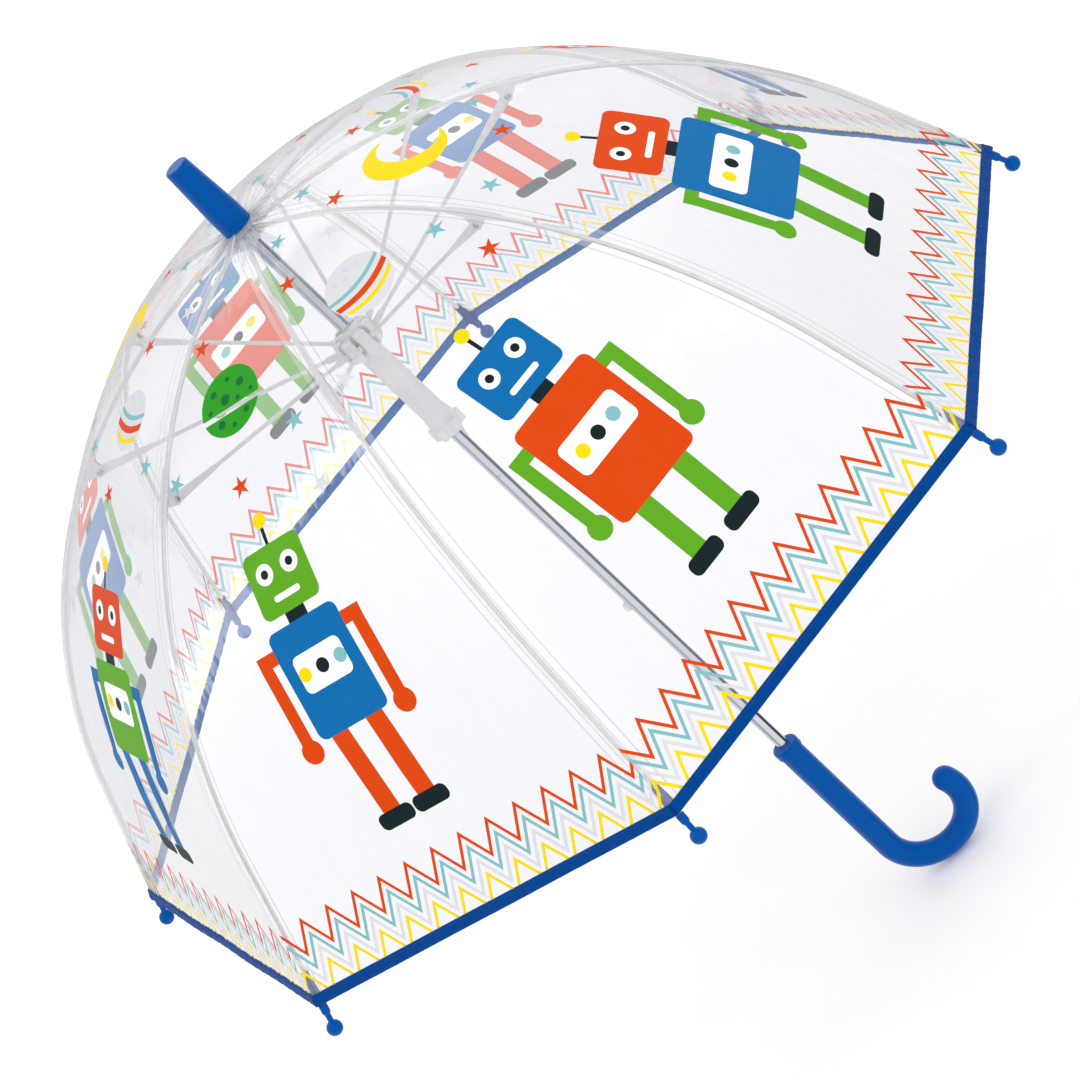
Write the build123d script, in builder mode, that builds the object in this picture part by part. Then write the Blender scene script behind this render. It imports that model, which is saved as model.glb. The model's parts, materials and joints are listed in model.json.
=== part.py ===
"""Children's dome umbrella, open at rest. Millimetres, +Z up along the shaft, origin on the shaft's
axis at the foot of the ferrule. Rib 1 lies towards +X, and the handle's hook opens towards +X."""

import os
from math import cos, degrees, radians, sin

from build123d import *

# ---------------------------------------------------------------- driving dimensions
RIBS = 8
STEP = 360 / RIBS
HALF_STEP = STEP / 2

# dome: in each rib's plane, an arc that leaves the crown level, then a straight line to the rim
DOME_CENTRE_R = 9.0
DOME_RADIUS = 328.0
DOME_SWEEP = 67.0
DOME_STRAIGHT = 88.6
FILM_TOP_Z = -3.0

# ribs
RIB_ROD = 1.4
FILM_TO_RIB = 3.0
RIB_RADIUS = DOME_RADIUS - FILM_TO_RIB
RIB_Z = FILM_TOP_Z - FILM_TO_RIB
FLEX_ANGLE = 42.0
FLEX_GAP = 1.5
RIB_START = 1.3
RIB_INTO_TIP = 4.0

# rib root blades, held by the crown's wire
BLADE_HALF = 1.0
ROOT_EYE = 2.2
ROOT_BLADE_LENGTH = 7.0
ROOT_BLADE_STEP = 1.0
WIRE = 0.6
WIRE_PLAY = 0.15

# joint fittings on the ribs, and their rivets
JOINT_ANGLE = 29.0
SMALL_TURN = 0.01
JOINT_DROP = 7.2
FITTING_LENGTH = 34.0
FITTING_BODY = 2.3
FITTING_END = 1.6
CHEEK_INNER = 1.25
CHEEK_OUTER = 2.3
CHEEK_EYE = 3.4
CHEEK_SLOT_OVERRUN = 1.2
RIVET_SHANK = 1.0
RIVET_HEAD = 1.9
RIVET_HEAD_THICK = 0.6

# stretchers
STRETCHER_ROD = 1.25
STRETCHER_HALF = 1.1
STRETCHER_EYE = 3.0
STRETCHER_HOLE = 1.05
STRETCHER_TAPER = 36.0
STRETCHER_OVERLAP = 8.0
STRETCHER_BLADE = 10.0
STRETCHER_FOOT = 1.8
HUB_PIVOT_R = 12.5
HUB_PIVOT_Z = -102.0

# shaft
SHAFT_OUTER = 4.0
SHAFT_INNER = 3.3
SHAFT_TOP = 42.0
SHAFT_BOTTOM = -560.0
PRESS = 0.02
RUNNING = 0.06
OVERSHOOT = 1.0

# ferrule
FERRULE_BASE = 9.8
FERRULE_BAND = 12.0
FERRULE_END = 7.8
FERRULE_LENGTH = 51.4
FERRULE_ROUND = 1.6

# crown
CROWN_OUTER = 11.5
CROWN_TOP = -3.0
CROWN_BOTTOM = -11.0
CROWN_SLOT = 2.6
CROWN_SLOT_FROM = 6.4
COLLAR_OUTER = 12.0
COLLAR_TOP = -0.4
COLLAR_BOTTOM = -2.2

# runner
HUB_OUTER = 14.0
HUB_TOP = -94.0
HUB_BOTTOM = -110.0
HUB_CHAMFER = 1.5
HUB_SLOT = 2.8
HUB_SLOT_FROM = 8.2
HUB_WIRE_R = 8.9
SLEEVE_OUTER = 8.0
RUNNER_TOP = -91.0
RUNNER_BOTTOM = -184.0
FLANGE_TOP = -176.0
FLANGE_CONE_TOP = -167.0
FLANGE_CORE = 9.4
FLANGE_LOBES = 6
FLANGE_LOBE = 3.0
FLANGE_LOBE_R = 8.6

# catches
BOTTOM_CATCH_Z = -351.4
BOTTOM_CATCH_HALF = 3.2
BOTTOM_CATCH_THICK = 3.0
BOTTOM_CATCH_REACH = 7.1
TOP_CATCH_TOP = -184.6
TOP_CATCH_LENGTH = 11.0
TOP_CATCH_THICK = 2.4
TOP_CATCH_REACH = 6.8
CATCH_ROOT = 0.4
CATCH_PLAY = 0.1
KEYWAY_PLAY = 0.2
SPRING_RIVET_Z = -226.0
SPRING_RIVET = 0.9
SPRING_RIVET_SUNK = 0.12
SPRING_RIVET_INSIDE = 0.6

# handle
HANDLE_TUBE = 8.35
HANDLE_TOP = -498.0
HANDLE_COLLAR = 9.3
HANDLE_COLLAR_LENGTH = 6.0
HANDLE_COLLAR_ROUND = 1.6
HOOK_START = -604.8
HOOK_RADIUS = 29.0
HOOK_TURN = 200.0
SHAFT_IN_HANDLE = 62.5

# rib tips
TIP_GAP = 0.4
TIP_CUP = 2.6
TIP_CUP_LENGTH = 5.0
TIP_TAPER = 2.0
TIP_NECK = 1.7
TIP_BALL = 4.8
TIP_BALL_AT = 15.5

# clear film and its hem
FILM = 0.4
HEM = 1.2
HEM_WIDTH = 7.0
FILM_GAP = 0.3
SEAM_GAP = 0.3
FLEX_HALF_GAP = 0.4
OUTLINE_STEPS = 12
CUT_MARGIN = 5.0

# how far the film's edges lie past the end of the dome's arc; a negative length is on the arc
ACROSS = cos(radians(HALF_STEP))
DOME_CENTRE_Z = FILM_TOP_Z - DOME_RADIUS
ARC_LENGTH = DOME_RADIUS * radians(DOME_SWEEP)
FILM_START = -ARC_LENGTH + (COLLAR_OUTER + FILM_GAP) / ACROSS - DOME_CENTRE_R
FILM_FLEX = -DOME_RADIUS * radians(DOME_SWEEP - FLEX_ANGLE)
FILM_END = DOME_STRAIGHT - HEM_WIDTH


# ---------------------------------------------------------------- places in a rib's plane
def on_arc(radius, angle):
    """Radial distance and height of a point on an arc about the dome's centre, angle from the crown."""
    r = DOME_CENTRE_R + radius * sin(radians(angle))
    z = DOME_CENTRE_Z + radius * cos(radians(angle))
    return r, z


def on_straight(radius, length):
    """A point on the straight run, length past the end of the arc of that radius."""
    r, z = on_arc(radius, DOME_SWEEP)
    return r + length * cos(radians(DOME_SWEEP)), z - length * sin(radians(DOME_SWEEP))


def rib_plane(number):
    """Local X is outwards, local Y is up, in the plane of that rib."""
    turn = radians((number - 1) * STEP)
    return Plane(
        origin=(0, 0, 0), x_dir=(cos(turn), sin(turn), 0), z_dir=(sin(turn), -cos(turn), 0)
    )


def gore_plane(number):
    """The same, in the plane midway between that rib and the next."""
    return rib_plane(number + 0.5)


PIVOT = (DOME_CENTRE_R, RIB_Z)
JOINT_ROD = on_arc(RIB_RADIUS, JOINT_ANGLE)
JOINT = on_arc(RIB_RADIUS - JOINT_DROP, JOINT_ANGLE)
FLEX = on_arc(RIB_RADIUS, FLEX_ANGLE)
HUB_PIVOT = (HUB_PIVOT_R, HUB_PIVOT_Z)


def local_plane(base, start, towards):
    """A plane in base's plane, its origin at start, local X towards the other point."""
    x_dir = base.from_local_coords(towards) - base.from_local_coords(start)
    return Plane(origin=base.from_local_coords(start), x_dir=x_dir, z_dir=base.z_dir)


def save(part, name):
    part.label = name
    export_step(part, f"parts/{name}.step")


# ---------------------------------------------------------------- shaft and its fittings
def catch_slot(z, half_length, thick):
    """Outline of the slot that a catch moves through in the shaft's wall."""
    with BuildSketch(Plane.YZ) as outline:
        with Locations((0, z)):
            Rectangle(thick + CATCH_PLAY, 2 * half_length + CATCH_PLAY)
    return outline.sketch


def make_shaft():
    with BuildPart() as shaft:
        with BuildSketch(Plane.XY.offset(SHAFT_BOTTOM)):
            Circle(SHAFT_OUTER)
            Circle(SHAFT_INNER, mode=Mode.SUBTRACT)
        extrude(amount=SHAFT_TOP - SHAFT_BOTTOM)
        lower_slot = catch_slot(BOTTOM_CATCH_Z, BOTTOM_CATCH_HALF, BOTTOM_CATCH_THICK)
        extrude(lower_slot, amount=-SHAFT_OUTER - OVERSHOOT, mode=Mode.SUBTRACT)
        top_middle = TOP_CATCH_TOP - TOP_CATCH_LENGTH / 2
        upper_slot = catch_slot(top_middle, TOP_CATCH_LENGTH / 2, TOP_CATCH_THICK)
        extrude(upper_slot, amount=SHAFT_OUTER + OVERSHOOT, mode=Mode.SUBTRACT)
        with BuildSketch(Plane.XZ):
            with Locations((0, SPRING_RIVET_Z)):
                Circle(SPRING_RIVET + PRESS)
        extrude(amount=SHAFT_OUTER + OVERSHOOT, mode=Mode.SUBTRACT)
    save(shaft.part, "shaft")


def make_spring_rivet():
    """Flush rivet through the shaft's wall on the -Y side, which holds the upper spring."""
    seat = SHAFT_INNER - SPRING_RIVET_INSIDE
    with BuildPart() as rivet:
        with BuildSketch(Plane.XZ.offset(seat)):
            with Locations((0, SPRING_RIVET_Z)):
                Circle(SPRING_RIVET)
        extrude(amount=SHAFT_OUTER - SPRING_RIVET_SUNK - seat)
    save(rivet.part, "spring_rivet")


def make_catches():
    """Sprung plates that stand out of the shaft: the lower one is round-nosed, the upper a wedge."""
    with BuildPart() as lower:
        with BuildSketch(Plane.XZ.offset(-BOTTOM_CATCH_THICK / 2)):
            centre_x = -(BOTTOM_CATCH_REACH - BOTTOM_CATCH_HALF)
            with Locations((centre_x, BOTTOM_CATCH_Z)):
                Circle(BOTTOM_CATCH_HALF)
            with Locations(((centre_x - CATCH_ROOT) / 2, BOTTOM_CATCH_Z)):
                Rectangle(-centre_x - CATCH_ROOT, 2 * BOTTOM_CATCH_HALF)
        extrude(amount=BOTTOM_CATCH_THICK)
    save(lower.part, "bottom_catch")

    bottom = TOP_CATCH_TOP - TOP_CATCH_LENGTH
    with BuildPart() as upper:
        with BuildSketch(Plane.XZ.offset(-TOP_CATCH_THICK / 2)):
            with BuildLine():
                Polyline(
                    (CATCH_ROOT, TOP_CATCH_TOP),
                    (TOP_CATCH_REACH, TOP_CATCH_TOP),
                    (SHAFT_OUTER, bottom),
                    (CATCH_ROOT, bottom),
                    close=True,
                )
            make_face()
        extrude(amount=TOP_CATCH_THICK)
    save(upper.part, "top_catch")


def make_ferrule():
    """Tapered cap: a straight band at its foot, then a taper to a round-edged flat end."""
    with BuildPart() as ferrule:
        with BuildSketch(Plane.XZ):
            with BuildLine():
                Polyline(
                    (0, 0),
                    (FERRULE_BASE, 0),
                    (FERRULE_BASE, FERRULE_BAND),
                    (FERRULE_END, FERRULE_LENGTH),
                    (0, FERRULE_LENGTH),
                    close=True,
                )
            make_face()
        revolve(axis=Axis.Z)
        fillet(ferrule.edges().group_by(Axis.Z)[-1], FERRULE_ROUND)
        with BuildSketch(Plane.XY):
            Circle(SHAFT_OUTER + PRESS)
        extrude(amount=SHAFT_TOP + PRESS, mode=Mode.SUBTRACT)
    save(ferrule.part, "ferrule")


def radial_slots(width, start, outer, z):
    """Outlines of one slot per rib, from the start radius outwards."""
    length = outer + OVERSHOOT - start
    with BuildSketch(Plane.XY.offset(z)) as outlines:
        with PolarLocations(start + length / 2, RIBS):
            Rectangle(length, width)
    return outlines.sketch


def wire_section(place, radius):
    with BuildSketch(Plane.XZ) as section:
        with Locations(place):
            Circle(radius)
    return section.sketch


def make_wire(name, place):
    """Ring of wire through the slots, on which the blades turn."""
    with BuildPart() as wire:
        revolve(wire_section(place, WIRE), axis=Axis.Z)
    save(wire.part, name)


def make_crown():
    """Slotted notch fixed on the shaft: each rib's root swings in a slot, on the wire."""
    with BuildPart() as crown:
        with BuildSketch(Plane.XY.offset(CROWN_BOTTOM)):
            Circle(CROWN_OUTER)
            Circle(SHAFT_OUTER + PRESS, mode=Mode.SUBTRACT)
        extrude(amount=CROWN_TOP - CROWN_BOTTOM)
        revolve(wire_section(PIVOT, WIRE + PRESS), axis=Axis.Z, mode=Mode.SUBTRACT)
        slots = radial_slots(CROWN_SLOT, CROWN_SLOT_FROM, CROWN_OUTER, CROWN_BOTTOM)
        extrude(slots, amount=CROWN_TOP - CROWN_BOTTOM, mode=Mode.SUBTRACT)
    save(crown.part, "crown")
    make_wire("crown_wire", PIVOT)


def make_collar():
    """The film's gathered middle, clamped between the crown and the ferrule."""
    with BuildPart() as collar:
        with BuildSketch(Plane.XY.offset(COLLAR_BOTTOM)):
            Circle(COLLAR_OUTER)
            Circle(SHAFT_OUTER + PRESS, mode=Mode.SUBTRACT)
        extrude(amount=COLLAR_TOP - COLLAR_BOTTOM)
    save(collar.part, "canopy_collar")


# ---------------------------------------------------------------- runner
def make_runner():
    """Slotted hub, sleeve and lobed thumb flange in one moulding, with keyways past the catches."""
    hub_wire = (HUB_WIRE_R, HUB_PIVOT_Z)
    with BuildPart() as runner:
        with BuildSketch(Plane.XY.offset(RUNNER_BOTTOM)):
            Circle(SLEEVE_OUTER)
        extrude(amount=RUNNER_TOP - RUNNER_BOTTOM)
        with BuildSketch(Plane.XY.offset(HUB_BOTTOM)):
            Circle(HUB_OUTER)
        extrude(amount=HUB_TOP - HUB_BOTTOM)
        circles = runner.edges().filter_by(GeomType.CIRCLE)
        hub_rims = circles.filter_by(lambda edge: edge.radius == HUB_OUTER)
        chamfer(hub_rims, HUB_CHAMFER)
        with BuildSketch(Plane.XZ):
            with BuildLine():
                Polyline(
                    (SHAFT_OUTER + OVERSHOOT, FLANGE_CONE_TOP),
                    (SLEEVE_OUTER, FLANGE_CONE_TOP),
                    (FLANGE_CORE, FLANGE_TOP),
                    (SHAFT_OUTER + OVERSHOOT, FLANGE_TOP),
                    close=True,
                )
            make_face()
        revolve(axis=Axis.Z)
        with BuildSketch(Plane.XY.offset(RUNNER_BOTTOM)):
            Circle(FLANGE_CORE)
            with PolarLocations(FLANGE_LOBE_R, FLANGE_LOBES):
                Circle(FLANGE_LOBE)
        extrude(amount=FLANGE_TOP - RUNNER_BOTTOM)
        revolve(wire_section(hub_wire, WIRE + PRESS), axis=Axis.Z, mode=Mode.SUBTRACT)
        slots = radial_slots(HUB_SLOT, HUB_SLOT_FROM, HUB_OUTER, HUB_BOTTOM)
        extrude(slots, amount=HUB_TOP - HUB_BOTTOM, mode=Mode.SUBTRACT)
        with BuildSketch(Plane.XY.offset(RUNNER_BOTTOM)):
            Circle(SHAFT_OUTER + RUNNING)
            lower_reach = BOTTOM_CATCH_REACH + KEYWAY_PLAY
            with Locations((-lower_reach / 2, 0)):
                Rectangle(lower_reach, BOTTOM_CATCH_THICK + 2 * KEYWAY_PLAY)
            upper_reach = TOP_CATCH_REACH + KEYWAY_PLAY
            with Locations((upper_reach / 2, 0)):
                Rectangle(upper_reach, TOP_CATCH_THICK + 2 * KEYWAY_PLAY)
        extrude(amount=RUNNER_TOP - RUNNER_BOTTOM, mode=Mode.SUBTRACT)
    save(runner.part, "runner")
    make_wire("runner_wire", hub_wire)


# ---------------------------------------------------------------- handle
def make_handle():
    """Moulded hook handle: a collared straight grip, then a hook of one tube with a round end."""
    end = radians(HOOK_TURN)
    tip = (HOOK_RADIUS - HOOK_RADIUS * cos(end), HOOK_START - HOOK_RADIUS * sin(end))
    with BuildPart() as handle:
        with BuildLine(Plane.XZ):
            Line((0, HANDLE_TOP), (0, HOOK_START))
            CenterArc((HOOK_RADIUS, HOOK_START), HOOK_RADIUS, 180, HOOK_TURN)
        with BuildSketch(Plane.XY.offset(HANDLE_TOP)):
            Circle(HANDLE_TUBE)
        sweep()
        with Locations((tip[0], 0, tip[1])):
            Sphere(HANDLE_TUBE)
        with BuildSketch(Plane.XY.offset(HANDLE_TOP)):
            Circle(HANDLE_COLLAR)
        extrude(amount=-HANDLE_COLLAR_LENGTH)
        fillet(handle.edges().group_by(Axis.Z)[-1], HANDLE_COLLAR_ROUND)
        with BuildSketch(Plane.XY.offset(HANDLE_TOP)):
            Circle(SHAFT_OUTER + PRESS)
        extrude(amount=-SHAFT_IN_HANDLE, mode=Mode.SUBTRACT)
    save(handle.part, "handle")


# ---------------------------------------------------------------- ribs, stretchers and tips
def rod_along(plane, start, end, radius, straight=0.0):
    """The rib's round rod over an arc of the dome, and on along the straight run."""
    with BuildPart() as rod:
        with BuildLine(plane) as path:
            CenterArc((DOME_CENTRE_R, DOME_CENTRE_Z), RIB_RADIUS, 90 - start, start - end)
            if straight:
                Line(on_straight(RIB_RADIUS, 0), on_straight(RIB_RADIUS, straight))
        with BuildSketch(Plane(origin=path.line @ 0, x_dir=plane.z_dir, z_dir=path.line % 0)):
            Circle(radius)
        sweep()
    return rod.part


def make_rib_upper(number):
    """Root blade, rod to the flex point, and the joint fitting with its rivet."""
    plane = rib_plane(number)
    root = local_plane(plane, PIVOT, (PIVOT[0] + 1, PIVOT[1]))
    with BuildPart() as rod:
        add(rod_along(plane, RIB_START, FLEX_ANGLE, RIB_ROD))
        with Locations(plane.from_local_coords(FLEX)):
            Sphere(RIB_ROD)
        with BuildSketch(root.offset(-BLADE_HALF)):
            Circle(ROOT_EYE)
            with Locations((ROOT_BLADE_LENGTH / 2 + ROOT_BLADE_STEP, 0)):
                Rectangle(ROOT_BLADE_LENGTH + 2 * ROOT_BLADE_STEP, 2 * RIB_ROD)
        extrude(amount=2 * BLADE_HALF)
        with BuildSketch(root.offset(-2 * BLADE_HALF)):
            Circle(WIRE + WIRE_PLAY)
        extrude(amount=4 * BLADE_HALF, mode=Mode.SUBTRACT)

    ahead = on_arc(RIB_RADIUS, JOINT_ANGLE + SMALL_TURN)
    along = local_plane(plane, JOINT_ROD, ahead)
    half = FITTING_LENGTH / 2
    with BuildPart() as fitting:
        with BuildSketch(along):
            with BuildLine():
                Polyline(
                    (-half, 0),
                    (-half, FITTING_END),
                    (-half / 2, FITTING_BODY),
                    (half / 2, FITTING_BODY),
                    (half, FITTING_END),
                    (half, 0),
                    close=True,
                )
            make_face()
        revolve(axis=Axis(along.origin, along.x_dir))
        with BuildSketch(along.offset(-CHEEK_OUTER)):
            with Locations((0, -JOINT_DROP)):
                Circle(CHEEK_EYE)
            with Locations((0, -JOINT_DROP / 2)):
                Rectangle(2 * CHEEK_EYE, JOINT_DROP)
        extrude(amount=2 * CHEEK_OUTER)
        with BuildSketch(along.offset(-CHEEK_INNER)):
            with Locations((0, -JOINT_DROP - CHEEK_SLOT_OVERRUN)):
                Rectangle(4 * CHEEK_EYE, 2 * (CHEEK_EYE + CHEEK_SLOT_OVERRUN))
        extrude(amount=2 * CHEEK_INNER, mode=Mode.SUBTRACT)
        with BuildSketch(along.offset(-2 * CHEEK_OUTER)):
            with Locations((0, -JOINT_DROP)):
                Circle(RIVET_SHANK + PRESS)
        extrude(amount=4 * CHEEK_OUTER, mode=Mode.SUBTRACT)
        swing = degrees(FITTING_LENGTH / RIB_RADIUS)
        bore = rod_along(plane, JOINT_ANGLE - swing, JOINT_ANGLE + swing, RIB_ROD + PRESS)
        add(bore, mode=Mode.SUBTRACT)

    with BuildPart() as rivet:
        with BuildSketch(along.offset(-CHEEK_OUTER - RIVET_HEAD_THICK)):
            with Locations((0, -JOINT_DROP)):
                Circle(RIVET_SHANK)
        extrude(amount=2 * (CHEEK_OUTER + RIVET_HEAD_THICK))
        for side in (-1, 1):
            with BuildSketch(along.offset(side * (CHEEK_OUTER + PRESS))):
                with Locations((0, -JOINT_DROP)):
                    Circle(RIVET_HEAD)
            extrude(amount=side * RIVET_HEAD_THICK)

    pieces = Compound(children=[rod.part, fitting.part, rivet.part])
    save(pieces, f"rib_upper_{number}")


def make_rib_lower(number):
    plane = rib_plane(number)
    start = FLEX_ANGLE + degrees(FLEX_GAP / RIB_RADIUS)
    rod = rod_along(plane, start, DOME_SWEEP, RIB_ROD, DOME_STRAIGHT + RIB_INTO_TIP)
    save(rod, f"rib_lower_{number}")


def make_tip(number):
    """Ball-ended cap on the rib's end, just past the hem."""
    plane = rib_plane(number)
    start = on_straight(RIB_RADIUS, DOME_STRAIGHT + TIP_GAP)
    along = local_plane(plane, start, on_straight(RIB_RADIUS, DOME_STRAIGHT + TIP_GAP + 1))
    ball_start = TIP_BALL_AT - (TIP_BALL**2 - TIP_NECK**2) ** 0.5
    ball_end = TIP_BALL_AT + TIP_BALL
    with BuildPart() as tip:
        with BuildSketch(along):
            with BuildLine():
                Polyline(
                    (ball_end, 0),
                    (0, 0),
                    (0, TIP_CUP),
                    (TIP_CUP_LENGTH, TIP_CUP),
                    (TIP_CUP_LENGTH + TIP_TAPER, TIP_NECK),
                    (ball_start, TIP_NECK),
                )
                ThreePointArc((ball_start, TIP_NECK), (TIP_BALL_AT, TIP_BALL), (ball_end, 0))
            make_face()
        revolve(axis=Axis(along.origin, along.x_dir))
        with BuildSketch(Plane(origin=along.origin, x_dir=along.z_dir, z_dir=along.x_dir)):
            Circle(RIB_ROD + PRESS)
        extrude(amount=RIB_INTO_TIP, mode=Mode.SUBTRACT)
    save(tip.part, f"tip_{number}")


def make_stretcher(number):
    """Strut from the runner's hub to the rib's rivet, with a thicker tapered end at the rivet."""
    plane = rib_plane(number)
    along = local_plane(plane, JOINT, HUB_PIVOT)
    length = (Vector(*JOINT) - Vector(*HUB_PIVOT)).length
    with BuildPart() as strut:
        with BuildSketch(along.offset(-STRETCHER_HALF)):
            Circle(STRETCHER_EYE)
            with BuildLine():
                Polyline(
                    (0, STRETCHER_EYE),
                    (STRETCHER_TAPER, STRETCHER_ROD),
                    (STRETCHER_TAPER, -STRETCHER_ROD),
                    (0, -STRETCHER_EYE),
                    close=True,
                )
            make_face()
        extrude(amount=2 * STRETCHER_HALF)
        across = Plane(origin=along.origin, x_dir=along.z_dir, z_dir=along.x_dir)
        with BuildSketch(across.offset(STRETCHER_TAPER - STRETCHER_OVERLAP)):
            Circle(STRETCHER_ROD)
        extrude(amount=length - STRETCHER_TAPER)
        with BuildSketch(along.offset(-STRETCHER_HALF)):
            with Locations((length, 0)):
                Circle(STRETCHER_FOOT)
            with Locations((length - STRETCHER_BLADE / 2, 0)):
                Rectangle(STRETCHER_BLADE, 2 * STRETCHER_FOOT)
        extrude(amount=2 * STRETCHER_HALF)
        with BuildSketch(along.offset(-2 * STRETCHER_HALF)):
            Circle(STRETCHER_HOLE)
        extrude(amount=4 * STRETCHER_HALF, mode=Mode.SUBTRACT)
    save(strut.part, f"stretcher_{number}")


# ---------------------------------------------------------------- canopy
def film_points(offset, start, end):
    """Points along the dome in a gore's middle plane, from start to end millimetres past the arc's
    end; a negative length lies on the arc. Straight across between two ribs, so nearer the shaft."""
    points = []
    for i in range(OUTLINE_STEPS + 1):
        length = start + (end - start) * i / OUTLINE_STEPS
        if length > 0:
            r, z = on_straight(DOME_RADIUS + offset, length)
        else:
            r, z = on_arc(DOME_RADIUS + offset, DOME_SWEEP + degrees(length / DOME_RADIUS))
        points.append((r * ACROSS, z))
    return points


def gore(number, thick, start, end, gap):
    """One gore between two ribs: the dome's line in the middle plane, extruded to both ribs."""
    plane = gore_plane(number)
    outer = film_points(thick / 2, start, end)
    inner = film_points(-thick / 2, start, end)
    reach = (outer[-1][0] + CUT_MARGIN) * 2
    middle = radians((number - 0.5) * STEP)
    shift = gap / 2 / sin(radians(HALF_STEP))
    wedge = [(shift * cos(middle), shift * sin(middle))]
    for side in (-1, 1):
        away = middle + side * radians(HALF_STEP)
        wedge.append((wedge[0][0] + reach * cos(away), wedge[0][1] + reach * sin(away)))
    with BuildPart() as piece:
        with BuildSketch(plane.offset(-reach / 2)):
            with BuildLine():
                for side in (outer, inner):
                    if start < 0:
                        Spline(*side)
                    else:
                        Line(side[0], side[-1])
                Line(outer[0], inner[0])
                Line(outer[-1], inner[-1])
            make_face()
        extrude(amount=reach)
        with BuildSketch(Plane.XY.offset(DOME_CENTRE_Z)):
            with BuildLine():
                Polyline(*wedge, close=True)
            make_face()
        extrude(amount=-DOME_CENTRE_Z + CUT_MARGIN, mode=Mode.INTERSECT)
    return piece.part


def make_canopy(number):
    """Each gore of film is an upper and a lower piece, which meet level with the ribs' flex points."""
    upper = gore(number, FILM, FILM_START, FILM_FLEX - FLEX_HALF_GAP, SEAM_GAP)
    save(upper, f"canopy_upper_{number}")
    lower = gore(number, FILM, FILM_FLEX + FLEX_HALF_GAP, FILM_END, SEAM_GAP)
    save(lower, f"canopy_lower_{number}")


def make_hem():
    """Binding strip round the rim, one straight length per gore."""
    numbers = range(1, RIBS + 1)
    lengths = [gore(n, HEM, FILM_END + FILM_GAP, DOME_STRAIGHT, SEAM_GAP) for n in numbers]
    save(Compound(children=lengths), "hem_binding")


def main():
    os.makedirs("parts", exist_ok=True)
    make_shaft()
    make_spring_rivet()
    make_catches()
    make_ferrule()
    make_crown()
    make_collar()
    make_runner()
    make_handle()
    for number in range(1, RIBS + 1):
        make_rib_upper(number)
        make_rib_lower(number)
        make_tip(number)
        make_stretcher(number)
        make_canopy(number)
    make_hem()


main()
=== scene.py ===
"""Looks of the children's dome umbrella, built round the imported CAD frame.

Metres, +Z up along the shaft, rib 1 towards +X. Gore n lies between rib n and the next one. Prints are
drawn flat in millimetres, x across the gore and y up from the rim, and cut into the gore's own mesh."""

import json
import math

import bpy
import numpy as np
from mathutils import Matrix, Vector
from mathutils.geometry import delaunay_2d_cdt


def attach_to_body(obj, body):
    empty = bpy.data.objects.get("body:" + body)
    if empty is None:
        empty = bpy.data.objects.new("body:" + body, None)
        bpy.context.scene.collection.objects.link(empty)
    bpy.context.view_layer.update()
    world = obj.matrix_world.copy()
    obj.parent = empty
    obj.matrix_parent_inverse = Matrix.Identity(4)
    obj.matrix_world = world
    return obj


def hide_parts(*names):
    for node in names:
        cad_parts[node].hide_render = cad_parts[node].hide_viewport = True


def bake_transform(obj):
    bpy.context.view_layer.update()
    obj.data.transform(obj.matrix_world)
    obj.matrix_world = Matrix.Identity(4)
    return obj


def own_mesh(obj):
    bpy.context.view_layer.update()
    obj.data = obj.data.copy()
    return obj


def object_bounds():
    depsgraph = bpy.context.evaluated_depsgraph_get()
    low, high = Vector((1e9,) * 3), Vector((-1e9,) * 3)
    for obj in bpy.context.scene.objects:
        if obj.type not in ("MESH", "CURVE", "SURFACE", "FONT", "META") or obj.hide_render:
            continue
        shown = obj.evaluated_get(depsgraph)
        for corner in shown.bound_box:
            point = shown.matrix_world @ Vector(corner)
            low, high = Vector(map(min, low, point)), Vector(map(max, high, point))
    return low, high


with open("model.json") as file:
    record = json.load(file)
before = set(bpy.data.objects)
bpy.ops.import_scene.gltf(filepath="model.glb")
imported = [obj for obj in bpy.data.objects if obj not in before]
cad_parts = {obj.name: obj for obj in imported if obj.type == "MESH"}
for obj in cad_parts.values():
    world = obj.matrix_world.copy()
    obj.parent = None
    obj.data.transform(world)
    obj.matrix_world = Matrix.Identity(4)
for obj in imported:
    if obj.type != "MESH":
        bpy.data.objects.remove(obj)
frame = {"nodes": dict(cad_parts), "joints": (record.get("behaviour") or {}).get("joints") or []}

cad_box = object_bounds()

# ---------------------------------------------------------------- driving dimensions, metres
MM = 0.001
RIBS = 8
STEP = math.tau / RIBS
HALF_STEP = STEP / 2
ACROSS = math.cos(HALF_STEP)
NUMBERS = range(1, RIBS + 1)

PIVOTS = {joint["name"]: Vector(joint.get("pos_m") or (0, 0, 0)) for joint in frame["joints"]}
RIB_PIVOT = PIVOTS["rib_fold_1"]
RIB_JOINT = PIVOTS["stretcher_fold_1"]
FILM_FLEX = PIVOTS["canopy_flex_1"]

# The dome's line in a rib's plane: an arc that starts level at the rib's root and sweeps down, then a
# straight run to the rim. JOINT_TURN and FLEX_TURN are where along the arc the stretcher is hung and the
# rib flexes. The rib runs just inside the film.
FILM_TO_RIB = 0.003
FILM_RADIUS = 0.328
RIB_RADIUS = FILM_RADIUS - FILM_TO_RIB
CENTRE_R = RIB_PIVOT.x
CENTRE_Z = RIB_PIVOT.z - RIB_RADIUS
SWEEP = math.radians(67)
STRAIGHT = 0.0886
LINE_LENGTH = FILM_RADIUS * SWEEP + STRAIGHT
JOINT_TURN = math.radians(29)

ROD = 0.0014
HEM_WIDTH = 0.007
HEM_THICK = 0.0018
# How far up the map the hem's inner face starts, so that its material can tell it from the outer one and
# paint it paler, as painted light
INNER_FACE = 0.010
CROWN_R = 0.0122
COLLAR_R = 0.0098

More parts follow.
